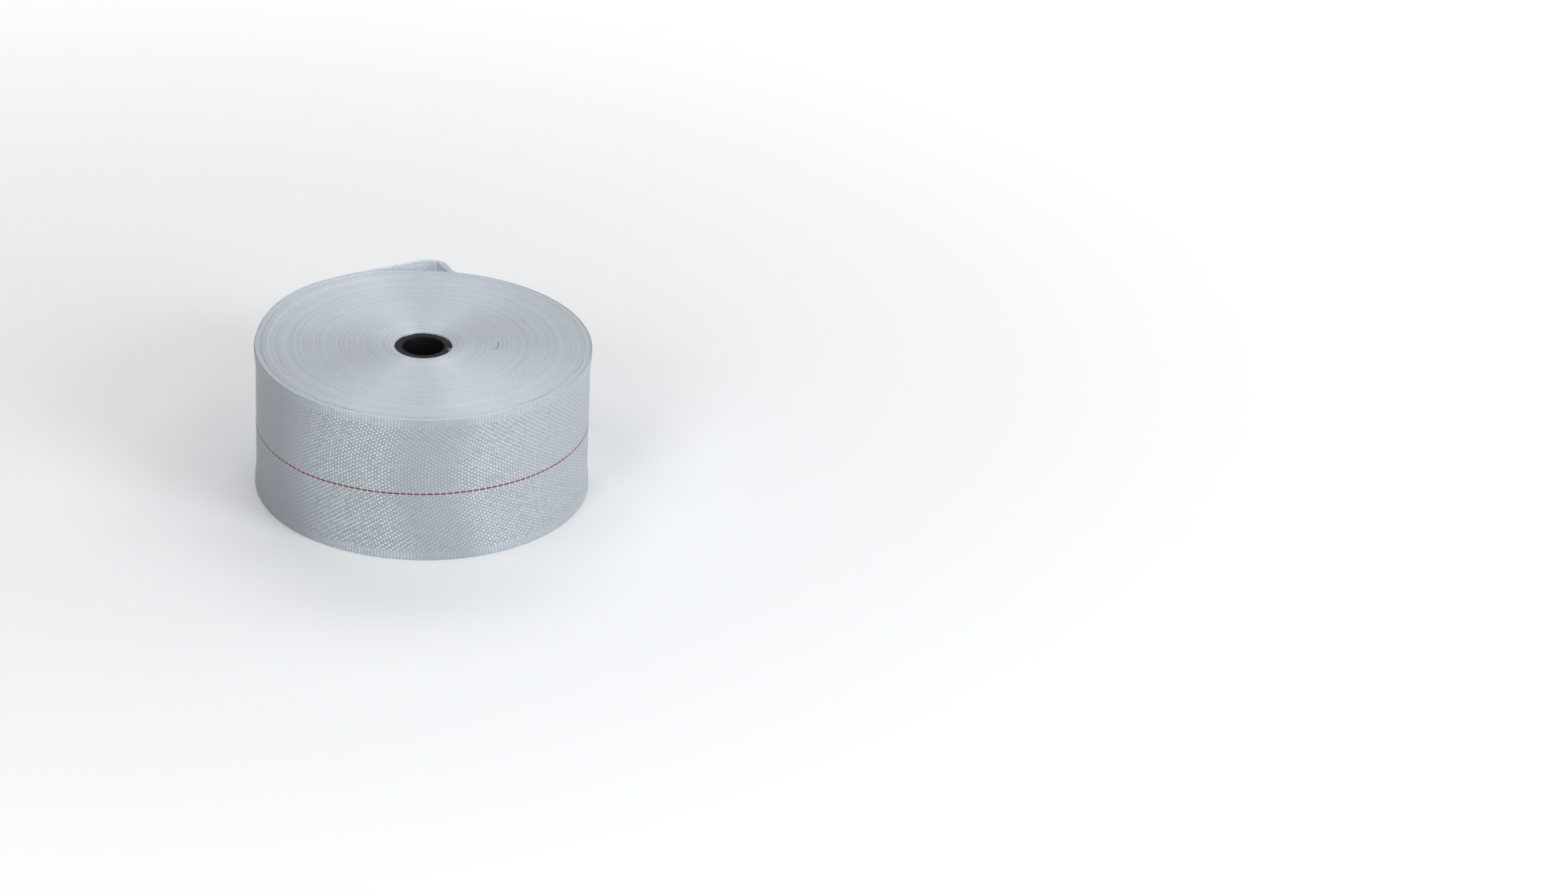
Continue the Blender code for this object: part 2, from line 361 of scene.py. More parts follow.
def clothPaint(name, inside):  # inside is 1 for the inner face of the loose end, else 0
    finish = clothFinish
    paint = Paint(name, {"IOR": 1.55, "Emission Strength": 1.0})
    pick = paint.node("ShaderNodeSeparateXYZ", {}, {0: paint.place("UV")})
    end = pick.also("Y")
    pickNumber = pick.maths("FLOOR")
    endNumber = end.maths("FLOOR")
    acrossPick = pick - pickNumber - 0.5
    acrossEnd = end - endNumber - 0.5
    weftUp = (pickNumber + endNumber) % 2.0
    warpUp = 1.0 - weftUp
    pickSide = acrossPick * acrossPick
    endSide = acrossEnd * acrossEnd

    def crown(sizes, shown):
        reach, pickSize, endSize = sizes
        return (reach - pickSide / pickSize - endSide / endSize).limited() * shown

    warpCrown = crown(finish["warpCrown"], warpUp)
    weftCrown = crown(finish["weftCrown"], weftUp)
    field = end.rise(-0.6, 0.4) * (1.0 - end.rise(tape["warpEnds"] - 0.4, tape["warpEnds"] + 0.6))
    rib = (1.0 - pickSide / finish["ribSize"]).limited()
    cell = paint.node("ShaderNodeCombineXYZ", {}, {0: pickNumber, 1: endNumber})
    luck = paint.node("ShaderNodeTexWhiteNoise", {"noise_dimensions": "2D"}, {0: cell})
    # painted shade in the ground between the yarns, painted highlights on the crowns and ribs
    ground, warpShare, weftShare, uneven = finish["fieldShades"]
    woven = ground + warpShare * warpCrown + weftShare * weftCrown + uneven * (luck - 0.5)
    ground, ribShare, uneven = finish["selvedgeShades"]
    ribbed = ground + ribShare * rib + uneven * (luck - 0.5)
    shade = woven * field + ribbed * (1.0 - field)
    cloudy = paint.noise(paint.place("Object"), finish["cloudScale"], 3.0)
    # painted light: paler towards the foot
    nearFoot = 1.0 - end.rise(*finish["footEnds"])
    shade = shade + finish["cloudShare"] * (cloudy - 0.5)
    shade = (shade * (1.0 + finish["footPaintedLight"] * nearFoot)).limited()
    # painted shade: bands round the side are painted darker and flatter where the light on the side is
    # weaker
    for middle, halfWidth, duller, plainer in finish["paintedShadeBands"]:
        share = 1.0 - abs(pick - middle).rise(0.3 * halfWidth, halfWidth)
        plain = shade + share * plainer * (finish["paintedShadeLevel"] - shade)
        shade = plain * (1.0 - duller * share)
    # painted light: paler colour and a glow on the loose end's inside and its flap
    paintedLit = (1.0 - pick.rise(*finish["flapPicks"])) * (finish["flapLight"] * (1.0 - inside)) + inside
    shade = (shade + paintedLit * (finish["paintedLitShade"] - 0.3 * shade)).limited()
    paint.feed("Emission Color", paint.mix(paintedLit, unlit, finish["glow"]))
    # the colour runs from the painted shade of the gaps to the pale yarn
    colour = paint.mix(shade, finish["shadedGap"], finish["yarn"])
    tracerEnd = (tape["tracerHeight"] - tape["lowerSelvedge"]) / tape["warpPitch"]
    nearTracer = finish["tracerShare"] * (1.0 - abs(end - tracerEnd).rise(*finish["tracerReach"]))
    paint.feed("Base Color", paint.mix(nearTracer, colour, finish["tracerTint"]))
    paint.feed("Roughness", finish["roughness"] + 0.16 * (luck - 0.5) + 0.10 * (1.0 - shade))
    paint.feed("Metallic", finish["silk"][0] + (finish["silk"][1] - finish["silk"][0]) * shade)
    lines = finish["filaments"] * math.tau
    alongWarp = (acrossEnd * lines).maths("COSINE") * warpUp
    alongWeft = (acrossPick * (lines * 1.5)).maths("COSINE") * weftUp
    grain = paint.noise(paint.place("Object"), 2500.0)
    crowns = (warpCrown + 0.6 * weftCrown) * field + 0.6 * rib * (1.0 - field)
    paint.bump(crowns + 0.12 * (alongWarp + alongWeft) + 0.25 * grain, finish["bumpDepth"])
    return paint.material


edgeFinish = {
    "dark": (0.50, 0.515, 0.53, 1.0),
    "light": (0.83, 0.89, 0.955, 1.0),
    "shadedGap": (0.22, 0.235, 0.25, 1.0),
    "roughness": 0.58,
    "unevenRoughness": 0.12,
    "groupScale": 0.24,
    "cloudScale": 45.0,
    "grainScale": 1300.0,
    # how pale: the ground, and what each of these adds
    "ground": 0.20,
    "groupShare": 0.26,
    "cloudShare": 0.20,
    "turnShare": 0.28,
    "grainShare": 0.90,
    "loopShare": 0.06,
    "ribShare": 0.20,
    # counted inwards from the last turn
    "ribTurns": (12.0, 8.0),
    # where the painted shadow line along the step lies
    "grooveTurn": 12.3,
    "grooveWander": 1.2,
    "grooveShadowShare": 0.8,
    "turnDepth": 0.00014,
    "loopDepth": 0.6,
}


def turnEdgePaint():
    # The UV map counts the turns outwards, as they lie where the roll is tight, and the picks
    finish = edgeFinish
    settings = {"IOR": 1.5, "Metallic": 0.32, "Anisotropic": 0.85, "Anisotropic Rotation": 0.25}
    paint = Paint("turnEdges", settings)
    turn = paint.node("ShaderNodeSeparateXYZ", {}, {0: paint.place("UV")})
    pick = turn.also("Y")
    turnNumber = turn.maths("FLOOR")
    acrossTurn = turn - turnNumber - 0.5
    luck = paint.node("ShaderNodeTexWhiteNoise", {"noise_dimensions": "1D"}, {"W": turnNumber})
    lastTurn = tape["rimRadius"] / tape["thickness"]
    weftsRound = (turnNumber + 0.5) * (math.tau * tape["thickness"] / tape["rimRadius"])
    loops = (pick * weftsRound + luck * math.tau).maths("COSINE")
    groups = paint.noise(turn, finish["groupScale"], 3.0, 0.7, "1D")
    cloudy = paint.noise(paint.place("Object"), finish["cloudScale"], 3.0)
    grain = paint.noise(paint.place("Object"), finish["grainScale"], 2.0)
    firstRib, fullRib = finish["ribTurns"]
    ribs = (pick * math.tau).maths("COSINE") * turn.rise(lastTurn - firstRib, lastTurn - fullRib)
    shade = finish["ground"] + groups.rise(0.25, 0.75) * finish["groupShare"]
    shade = shade + finish["cloudShare"] * cloudy + finish["turnShare"] * luck
    shade = shade + finish["grainShare"] * (grain - 0.5)
    shade = shade + finish["loopShare"] * loops + finish["ribShare"] * ribs
    colour = paint.mix(shade.limited(), finish["dark"], finish["light"])
    # painted shadow: a dark line painted along the step a little inside the last turns, broken up by the
    # cloud noise; its colour is the shaded gap
    grooveAt = lastTurn - finish["grooveTurn"] + finish["grooveWander"] * (cloudy - 0.5)
    groove = 1.0 - abs(turn - grooveAt).rise(0.35, 1.1)
    shaded = groove * cloudy.rise(0.25, 0.75) * finish["grooveShadowShare"]
    paint.feed("Base Color", paint.mix(shaded, colour, finish["shadedGap"]))
    paint.feed("Roughness", finish["roughness"] + finish["unevenRoughness"] * (luck - 0.5))
    ridge = (1.0 - 4.0 * acrossTurn * acrossTurn) * (1.0 + finish["loopDepth"] * loops)
    paint.bump(ridge + 0.5 * luck + 0.6 * grain, finish["turnDepth"])
    return paint.material


plasticFinish = {
    "black": (0.006, 0.0063, 0.007, 1.0),
    "worn": (0.018, 0.0215, 0.027, 1.0),
    "roughness": 0.42,
    "sawnRoughness": 0.25,
    "sawnBelow": (0.0011, 0.0002),  # how far under the tube's end the wear starts and is full
    "scuffScale": 900.0,
    "patchScale": 180.0,
    "scuffDepth": 0.00012,
}


def plasticPaint():
    finish = plasticFinish
    paint = Paint("blackPlastic", {"IOR": 1.5, "Specular IOR Level": 0.25})
    height = paint.node("ShaderNodeSeparateXYZ", {}, {0: paint.place("Object")}, "Z")
    scuffs = paint.noise(paint.place("Object"), finish["scuffScale"], 4.0, 0.65)
    patches = paint.noise(paint.place("Object"), finish["patchScale"], 2.0)
    lowest, full = finish["sawnBelow"]
    sawn = height.rise(coreHigh.z - lowest, coreHigh.z - full)
    worn = sawn * (0.7 * scuffs.rise(0.4, 0.7) + 0.5 * patches.rise(0.35, 0.65)) + 0.05 * patches
    paint.feed("Base Color", paint.mix(worn.limited(), finish["black"], finish["worn"]))
    rough = finish["roughness"] + finish["sawnRoughness"] * sawn
    paint.feed("Roughness", rough + 0.15 * (scuffs - 0.5))
    paint.bump(scuffs, finish["scuffDepth"])
    return paint.material


tracerFinish = {
    "deep": (0.050, 0.010, 0.016, 1.0),
    "bright": (0.17, 0.030, 0.048, 1.0),
    "roughness": 0.6,
    "pliesAlong": 9.0,
    "pliesRound": 3.0,
    "plyDepth": 0.00003,
}


def tracerPaint():
    finish = tracerFinish
    paint = Paint("redYarn", {"Specular IOR Level": 0.2})
    along = paint.node("ShaderNodeSeparateXYZ", {}, {0: paint.place("UV")})
    roundIt = along.also("Y") * (math.tau * finish["pliesRound"])
    twist = (along * finish["pliesAlong"] + roundIt).maths("SINE")
    mottled = paint.noise(paint.place("Object"), 700.0, 2.0)
    shade = (mottled.rise(0.3, 0.7) * 0.7 + 0.15 * twist + 0.15).limited()
    paint.feed("Base Color", paint.mix(shade, finish["deep"], finish["bright"]))
    paint.feed("Roughness", finish["roughness"] + 0.1 * twist)
    paint.bump(twist, finish["plyDepth"])
    return paint.material


def plainPaint(name, colour, roughness, speckle):
    paint = Paint(name, {})
    spots = paint.noise(paint.place("Object"), 400.0, 2.0)
    darker = (*[c * (1.0 - speckle) for c in colour], 1.0)
    paint.feed("Base Color", paint.mix(spots, darker, (*colour, 1.0)))
    paint.feed("Roughness", roughness + 0.1 * spots)
    return paint.material


# the inside copy is the cloth painted lit, with a glow
glassCloth = clothPaint("wovenGlass", 0.0)
glassClothInsideLit = clothPaint("wovenGlassInsideLit", 1.0)
turnEdges = turnEdgePaint()
blackPlastic = plasticPaint()
redYarn = tracerPaint()
glassFibre = plainPaint("glassFibre", (0.66, 0.69, 0.71), 0.3, 0.15)
darkFibre = plainPaint("darkFibre", (0.02, 0.019, 0.02), 0.6, 0.4)
print("finishes made")


def newPiece(name, bm, material):
    mesh = bpy.data.meshes.new(name)
    bm.to_mesh(mesh)
    bm.free()
    piece = bpy.data.objects.new(name, mesh)
    bpy.context.scene.collection.objects.link(piece)
    mesh.materials.append(material)
    mesh.shade_smooth()
    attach(piece, "root")
    return piece


def clothGrid(picks, heights, facePoint):
    # A grid bent to the cloth's face. Its UV map counts the picks and the warp ends
    bm = bmesh.new()
    columns = len(picks) - 1
    rows = len(heights) - 1
    bmesh.ops.create_grid(bm, x_segments=columns, y_segments=rows, size=0.5)
    flat = []
    bm.verts.ensure_lookup_table()
    for corner in bm.verts:
        column = round((corner.co.x + 0.5) * columns)
        row = round((corner.co.y + 0.5) * rows)
        corner.co = facePoint(picks[column], row)
        pick = picks[column]
        flat.append((pick - weftLean(heights[row]), warpCount(pick, heights[row])))
    layer = bm.loops.layers.uv.new("tape")
    for face in bm.faces:
        for loop in face.loops:
            loop[layer].uv = flat[loop.vert.index]
    return bm


def clothHeights(perEnd, selvedgeRows, edge):
    lower = [edge + (tape["lowerSelvedge"] - edge) * row / selvedgeRows for row in range(selvedgeRows)]
    rows = tape["warpEnds"] * perEnd
    field = [tape["lowerSelvedge"] + tape["warpPitch"] * row / perEnd for row in range(rows)]
    top = tape["width"] - edge
    upper = [upperSelvedge + (top - upperSelvedge) * row / selvedgeRows for row in range(selvedgeRows + 1)]
    return lower + field + upper


def picksFrom(first, last, perPick):
    steps = round((last - first) * perPick)
    return [first + (last - first) * step / steps for step in range(steps + 1)]


# The outer turn: its woven face all round, in three lengths. The one under the loose end is
# hardly seen, so its grid is coarser. The cut edges of the tape turn in over the layers below
outerTurn = {
    "lengths": (
        # name, first pick, last pick, columns a pick, rows a warp end, rows in a selvedge
        ("outerTurnLeft", 0, 120, 3, 3, 6),
        ("outerTurnRight", 120, 240, 3, 3, 6),
        ("outerTurnUnder", 240, 322, 2, 2, 5),
    ),
    "open": 0.0014,  # nearer to the edge than this the tape bends over
    "edgeRelief": 0.6,
    "edge": (
        # height from the tape's edge, how far in
        (0.0014, 0.00002),
        (0.0009, 0.00009),
        (0.0005, 0.00020),
        (0.0002, 0.00036),
        (0.00003, 0.00060),
        (0.00015, 0.00085),
        (0.0007, 0.00100),
        (0.0016, 0.00105),
    ),
}


def outerRows(perEnd, selvedgeRows):  # height, how far in, how much of the relief
    setting = outerTurn
    foot = [(height, inwards, setting["edgeRelief"]) for height, inwards in setting["edge"]]
    top = [(tape["width"] - height, inwards, share) for height, inwards, share in foot]
    side = [(height, 0.0, 1.0) for height in clothHeights(perEnd, selvedgeRows, setting["open"])]
    return foot[::-1] + side[1:-1] + top


def outerPoint(pick, height, inwards, share):
    radius = sideRadius(pick, height) + clothRelief(pick, height) * share - inwards
    return around(lift - pick * pickAngle, radius, height)


def buildOuterTurn():
    for name, first, last, perPick, perEnd, selvedgeRows in outerTurn["lengths"]:
        picks = picksFrom(first, last, perPick)
        picks = [2 * picks[0] - picks[1], *picks, 2 * picks[-1] - picks[-2]]
        rows = outerRows(perEnd, selvedgeRows)
        heights = [row[0] for row in rows]
        bm = clothGrid(picks, heights, lambda pick, row: outerPoint(pick, *rows[row]))
        bm.normal_update()
        # the spare column at each end only gives the joins their true slope
        spare = []
        normals = []
        for corner in bm.verts:
            if corner.index % len(picks) in (0, len(picks) - 1):
                spare.append(corner)
            else:
                normals.append(corner.normal.copy())
        bmesh.ops.delete(bm, geom=spare, context="VERTS")
        piece = newPiece(name, bm, glassCloth)
        piece.data.normals_split_custom_set_from_vertices(normals)
        print("%s: %d faces" % (name, len(piece.data.polygons)))


buildOuterTurn()


# The loose end: the outer turn lifts off at the left, stands out in a hump at the back and
# comes back to the roll, with its cut end folded in
looseEnd = {
    "route": (
        # degrees from the back, stand-off from the rim of the CAD sheet's middle
        (-80.0, -0.0005),
        (-75.0, -0.0001),
        (-70.0, 0.0006),
        (-64.0, 0.0015),
        (-55.0, 0.0031),
        (-47.0, 0.0043),
        (-39.0, 0.0045),
        (-31.0, 0.0041),
        (-24.0, 0.0044),
        (-15.5, 0.0066),
        (-8.0, 0.0102),
        (-3.0, 0.0146),
        (0.4, 0.0169),
        (3.6, 0.0162),
        (5.9, 0.0139),
        (7.9, 0.0080),
        (9.4, 0.0027),
        (10.8, 0.0010),
    ),
    "cadHalfSheet": 0.0005,
    "waistFadeDegrees": 30.0,
    "foldRadius": 0.0009,
    "foldSteps": 8,
    "flapLength": 0.021,
    "flapBulge": 0.0021,
    "edge": 0.0001,
    "perPick": 3,
    "perEnd": 2,
    "selvedgeRows": 4,
}


def smoothRows(rows, steps):
    ends = [rows[0], *rows, rows[-1]]
    found = []
    for before, start, end, after in zip(ends, ends[1:], ends[2:], ends[3:]):
        for step in range(steps):
            t = step / steps
            weights = (
                0.5 * (-t + 2 * t**2 - t**3),
                0.5 * (2 - 5 * t**2 + 3 * t**3),
                0.5 * (t + 4 * t**2 - 3 * t**3),
                0.5 * (t**3 - t**2),
            )
            four = zip(before, start, end, after)
            found.append([sum(w * v for w, v in zip(weights, column)) for column in four])
    return [*found, list(rows[-1])]


def outwards(before, after):  # the side of the tape's outer face, for a run out to the free end
    heading = (after - before).normalized()
    return Vector((-heading.y, heading.x, 0.0))


def looseRun(height):
    # points along the tape's middle at this height, from the lift-off to the cut end
    setting = looseEnd
    outerFace = setting["cadHalfSheet"] - tape["thickness"] / 2
    rest = setting["route"][-1][1]
    closing = footClosing(height)
    run = []
    for degrees, standOff in smoothRows(setting["route"], 8):
        lifted = smoothStep((degrees - tape["liftDegrees"]) / setting["waistFadeDegrees"])
        radius = tape["rimRadius"] + standOff + outerFace - closing * max(standOff - rest, 0.0)
        run.append(around(math.radians(degrees), radius - rimDrop(height) * (1.0 - lifted), height))
    out = outwards(run[-2], run[-1])
    centre = run[-1] - out * setting["foldRadius"]
    fold = []
    for step in range(1, setting["foldSteps"]):
        bend = -math.pi * step / setting["foldSteps"]
        fold.append(centre + Quaternion((0, 0, 1), bend) @ out * setting["foldRadius"])
    flap = []
    length = 0.0
    for later, here, earlier in zip(run[::-1], run[-2::-1], run[-3::-1]):
        length += (later - here).length
        if length > setting["flapLength"]:
            break
        bulge = setting["flapBulge"] * math.sin(math.pi * length / setting["flapLength"])
        flap.append(here - outwards(earlier, later) * (2 * setting["foldRadius"] + bulge))
    return run + fold + flap


class Path:  # a line of points that can be read by its length
    def __init__(self, points):
        self.points = points
        self.lengths = [0.0]
        for here, following in zip(points, points[1:]):
            self.lengths.append(self.lengths[-1] + (following - here).length)
        self.total = self.lengths[-1]
        self.at = 0

    def point(self, length):
        while self.at > 0 and self.lengths[self.at] > length:
            self.at -= 1
        while self.at < len(self.points) - 2 and self.lengths[self.at + 1] < length:
            self.at += 1
        span = self.lengths[self.at + 1] - self.lengths[self.at]
        share = (length - self.lengths[self.at]) / span
        return self.points[self.at].lerp(self.points[self.at + 1], share)

    def out(self, length):
        step = pickPitch / 3
        return outwards(self.point(max(length - step, 0.0)), self.point(min(length + step, self.total)))


looseMiddle = Path(looseRun(tape["width"] / 2))
loosePicks = looseMiddle.total / pickPitch
print("loose end: %.0f mm of tape, %.0f picks" % (looseMiddle.total * 1000, loosePicks))


def loosePoint(path, pick, height):  # on the outer face of the loose end, so far out along it
    length = path.total * -pick / loosePicks
    face = tape["thickness"] / 2 + clothRelief(pick, height)
    return path.point(length) + path.out(length) * face


def buildLooseEnd():
    setting = looseEnd
    picks = picksFrom(-loosePicks, 0.0, setting["perPick"])
    heights = clothHeights(setting["perEnd"], setting["selvedgeRows"], setting["edge"])
    paths = [Path(looseRun(height)) for height in heights]
    bm = clothGrid(picks, heights, lambda pick, row: loosePoint(paths[row], pick, heights[row]))
    piece = newPiece("looseEnd", bm, glassCloth)
    wall = piece.modifiers.new("layer", "SOLIDIFY")
    wall.thickness = tape["thickness"] - weave["sunk"] / 2
    wall.offset = -1.0
    # the inner face takes the copy of the cloth that is painted lit and glows
    wall.material_offset = 1
    piece.data.materials.append(glassClothInsideLit)
    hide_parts("loose_end")
    print("looseEnd: %d faces before its thickness" % len(piece.data.polygons))


buildLooseEnd()

# The wound turns inside: a turned body whose two faces carry the edges of the turns
turns = {
    "holeRadius": 0.0188,
    "sunkUnderCloth": 0.00050,
    "drawnFrom": 0.104,  # only the last turns are drawn in as the outer turn winds in
    "segments": 288,
    "topCuts": 176,
    "footCuts": 60,
    "grooves": (
        # middle radius, width, depth
        (0.0982, 0.0040, 0.00017),
        (0.0900, 0.0034, 0.00014),
        (0.0812, 0.0050, 0.00012),
        (0.0722, 0.0036, 0.00015),
        (0.0655, 0.0028, 0.00010),
    ),
    "grooveSlope": 0.0010,
    "coreDipRadius": 0.028,
    "coreDip": 0.0016,
    "shoulderWidth": 0.0045,
    "shoulderDrop": 0.00045,
    "shoulderSlope": 0.0008,
    "footShare": 0.35,  # the foot's grooves are pressed flatter, and end short of the rim
    "footRim": 0.006,
    "sharpDegrees": 50,
    "groupDepth": 0.00005,
    "groupPitch": 0.0028,
    "ripple": 0.00004,
}


def turnedRing(inner, outer, height, cuts, segments):
    # a wall's section, its top, outside, foot and bore cut into lengths, turned about the axis
    bm = bmesh.new()
    section = ((inner, height), (outer, height), (outer, 0.0), (inner, 0.0))
    for start, end, number in zip(section, section[1:] + section[:1], cuts):
        side = bm.edges.new([bm.verts.new(around(lift, *corner)) for corner in (start, end)])
        bmesh.ops.subdivide_edges(bm, edges=[side], cuts=number)
    bmesh.ops.remove_doubles(bm, verts=bm.verts, dist=1e-6)
    bmesh.ops.spin(
        bm,
        geom=bm.verts[:] + bm.edges[:],
        cent=(rollAxis.x, rollAxis.y, 0.0),
        axis=(0.0, 0.0, 1.0),
        dvec=(0.0, 0.0, 0.0),
        angle=math.tau,
        steps=segments,
        use_merge=True,
    )
    bmesh.ops.remove_doubles(bm, verts=bm.verts, dist=1e-5)
    bmesh.ops.recalc_face_normals(bm, faces=bm.faces)
    return bm


def facesDrop(radius):  # how far the turns' edges lie under the tape's full width
    setting = turns
    drop = 0.0
    for middle, width, depth in setting["grooves"]:
        inside = width / 2 + setting["grooveSlope"] - abs(radius - middle)
        drop += depth * smoothStep(inside / setting["grooveSlope"])
    dipShare = (setting["coreDipRadius"] - radius) / (setting["coreDipRadius"] - setting["holeRadius"])
    drop += setting["coreDip"] * max(dipShare, 0.0) ** 1.5
    intoShoulder = radius - (tape["rimRadius"] - setting["shoulderWidth"])
    drop += setting["shoulderDrop"] * smoothStep(intoShoulder / setting["shoulderSlope"])
    waves = noise.noise(Vector((radius / setting["groupPitch"] * 1.7, 7.0, 0.0)))
    waves += 0.6 * noise.noise(Vector((radius / setting["groupPitch"] * 4.1, 31.0, 0.0)))
    return drop + setting["groupDepth"] * (0.8 - waves)


def woundAt(turn):  # how far round this is from the lift-off, 0 on the join itself
    wound = (lift - turn) % math.tau
    return wound if 0.001 < wound < math.tau - 0.001 else 0.0


def countTurns(bm):  # a UV map of the turns, counted from the axis, and the picks round them
    layer = bm.loops.layers.uv.new("turns")
    for face in bm.faces:
        rounds = []
        for loop in face.loops:
            x = loop.vert.co.x - rollAxis.x
            y = loop.vert.co.y - rollAxis.y
            rounds.append((math.hypot(x, y), woundAt(math.atan2(x, y))))
        atJoin = max(wound for radius, wound in rounds) > math.pi * 1.5
        for loop, (radius, wound) in zip(face.loops, rounds):
            if atJoin and wound == 0.0:
                wound = math.tau
            loop[layer].uv = (radius / tape["thickness"], wound / pickAngle)


def buildTurns():
    setting = turns
    outer = tape["rimRadius"] - setting["sunkUnderCloth"]
    hole = setting["holeRadius"]
    cuts = (setting["topCuts"], 7, setting["footCuts"], 3)
    bm = turnedRing(hole, outer, tape["width"], cuts, setting["segments"])
    countTurns(bm)
    for corner in bm.verts:
        x = corner.co.x - rollAxis.x
        y = corner.co.y - rollAxis.y
        radius = math.hypot(x, y)
        turn = math.atan2(x, y)
        height = corner.co.z
        wound = woundAt(turn)
        onTop = height > tape["width"] - 1e-5
        onFoot = height < 1e-5
        outward = smoothStep((radius - setting["drawnFrom"]) / (outer - setting["drawnFrom"]))
        shift = setting["ripple"] * noise.noise(Vector((x * 40.0, y * 40.0, radius * 900.0)))
        if onTop:
            height -= facesDrop(radius) + shift
        elif onFoot:
            fromRim = smoothStep((outer - radius) / setting["footRim"])
            height += setting["footShare"] * facesDrop(radius) * fromRim
        else:
            radius -= rimDrop(height) * (1.0 if radius > setting["drawnFrom"] else 0.0)
        radius -= tape["layerStep"] * outward * wound / math.tau
        bulge = slackBulge(turn, radius, height) if wound > math.pi else 0.0
        corner.co = around(turn, radius + bulge, height)
    piece = newPiece("woundTurns", bm, turnEdges)
    piece.data.set_sharp_from_angle(angle=math.radians(setting["sharpDegrees"]))
    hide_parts("tape_roll")
    print("woundTurns: %d faces" % len(piece.data.polygons))


buildTurns()

# The core: a plastic tube, sawn off a little ragged, with one chipped place
core = {
    "wall": 0.005,
    "segments": 128,
    "endRadius": 0.0006,
    "ragged": 0.00034,
    "raggedBelow": 0.0015,  # how far down from the end the tube is uneven
    "coarse": 420.0,
    "fine": 1300.0,
    "fineShare": 0.8,
    "chipDegrees": 109.0,
    "chipHalfDegrees": 5.0,
    "chipDepth": 0.0014,
    "chipInset": 0.001,
    "chipSlope": 0.002,
    "rimDegrees": 60,
    "sharpDegrees": 50,
}


def buildCore():
    setting = core
    outer = (coreHigh.x - coreLow.x) / 2
    inner = outer - setting["wall"]
    bm = turnedRing(inner, outer, coreHigh.z, (5, 12, 3, 12), setting["segments"])
    rims = [edge for edge in bm.edges if edge.calc_face_angle(0.0) > math.radians(setting["rimDegrees"])]
    bmesh.ops.bevel(
        bm,
        geom=rims,
        offset=setting["endRadius"],
        offset_type="OFFSET",
        affect="EDGES",
        segments=2,
        profile=0.5,
        material=-1,
    )
    bmesh.ops.recalc_face_normals(bm, faces=bm.faces)
    for corner in bm.verts:
        x = corner.co.x - rollAxis.x
        y = corner.co.y - rollAxis.y
        if corner.co.z > coreHigh.z - setting["raggedBelow"]:
            turn = math.degrees(math.atan2(x, y))
            radius = math.hypot(x, y)
            rough = noise.noise(Vector((x * setting["coarse"], y * setting["coarse"], 5.0)))
            fineRough = noise.noise(Vector((x * setting["fine"], y * setting["fine"], 9.0)))
            rough += setting["fineShare"] * fineRough
            chip = 1.0 - smoothStep(abs(turn - setting["chipDegrees"]) / setting["chipHalfDegrees"])
            chip *= smoothStep((radius - inner - setting["chipInset"]) / setting["chipSlope"])
            corner.co.z += setting["ragged"] * (rough - 0.4) - setting["chipDepth"] * chip
            swell = setting["ragged"] * 0.8 * rough / max(radius, 0.001)
            corner.co.x += x * swell * 0.6
            corner.co.y += y * swell * 0.6
    piece = newPiece("core", bm, blackPlastic)
    piece.data.set_sharp_from_angle(angle=math.radians(setting["sharpDegrees"]))
    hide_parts("core_tube")
    print("core: %d faces" % len(piece.data.polygons))


buildCore()


def yarnAlong(points, outs, halfWidth, halfThick, sides, picks=None):
    # A tube of flattened section along the points. Its UV map counts picks and goes round once
    bm = bmesh.new()
    last = len(points) - 1
    bmesh.ops.create_grid(bm, x_segments=last, y_segments=sides, size=0.5)
    layer = bm.loops.layers.uv.new("tape")
    flat = {}
    for corner in bm.verts:
        step = round((corner.co.x + 0.5) * last)
        share = round((corner.co.y + 0.5) * sides) / sides
        heading = (points[min(step + 1, last)] - points[max(step - 1, 0)]).normalized()
        across = heading.cross(outs[step]).normalized()
        thin = 0.35 if step in (0, last) else 1.0
        roundIt = math.tau * share
        offset = across * math.cos(roundIt) * halfWidth - outs[step] * math.sin(roundIt) * halfThick
        corner.co = points[step] + offset * thin
        flat[corner] = (picks[step] if picks else step, share)
    for face in bm.faces:
        for loop in face.loops:
            loop[layer].uv = flat[loop.vert]
    bmesh.ops.remove_doubles(bm, verts=bm.verts, dist=1e-7)
    bmesh.ops.holes_fill(bm, edges=[edge for edge in bm.edges if edge.is_boundary], sides=0)
    bmesh.ops.recalc_face_normals(bm, faces=bm.faces)
    return bm


# The red yarn takes the place of one warp end, so it shows over every second pick
tracer = {
    "halfWidth": 0.00044,
    "halfThick": 0.00010,
    "dip": 0.00017,
    "dipSteepness": 6.0,
    "lift": 0.00009,
    "showing": 0.8,  # the yarn floats a little further than one pick
    "wander": 0.00012,
    "cutBack": 0.5,  # picks
    "joinPick": -0.25,
    "lastPick": 321.0,
    "perPick": 4,
    "sides": 8,
}


